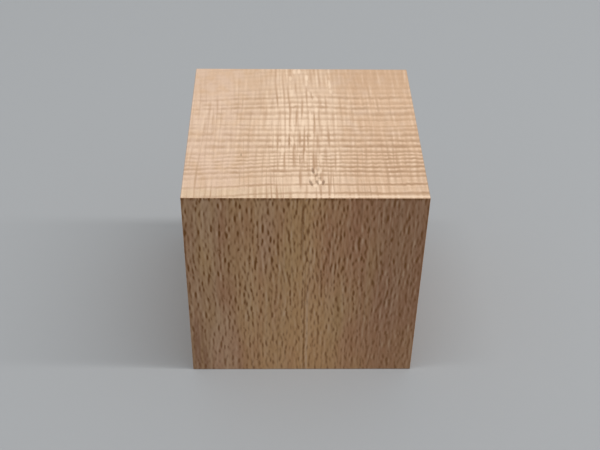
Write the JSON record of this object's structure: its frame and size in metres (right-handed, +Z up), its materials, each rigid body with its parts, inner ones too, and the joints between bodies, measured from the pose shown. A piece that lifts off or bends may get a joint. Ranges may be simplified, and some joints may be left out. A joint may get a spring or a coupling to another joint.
{
  "type": "wooden cube",
  "caption": "Solid wooden cube with planed square faces and lightly eased edges, fibres running from the bottom face to the top.",
  "frame": {"origin": "centre of the bottom face, which the cube rests on", "axes": "+Z up along the fibres, towards the end-grain top; -Y towards the flat-grained front; +X to the right seen from the front"},
  "size_m": [0.06, 0.06, 0.06],
  "materials": {
    "beech": "planed, bare"
  },
  "bodies": {
    "root": {"wooden_cube": "beech"}
  },
  "joints": []
}
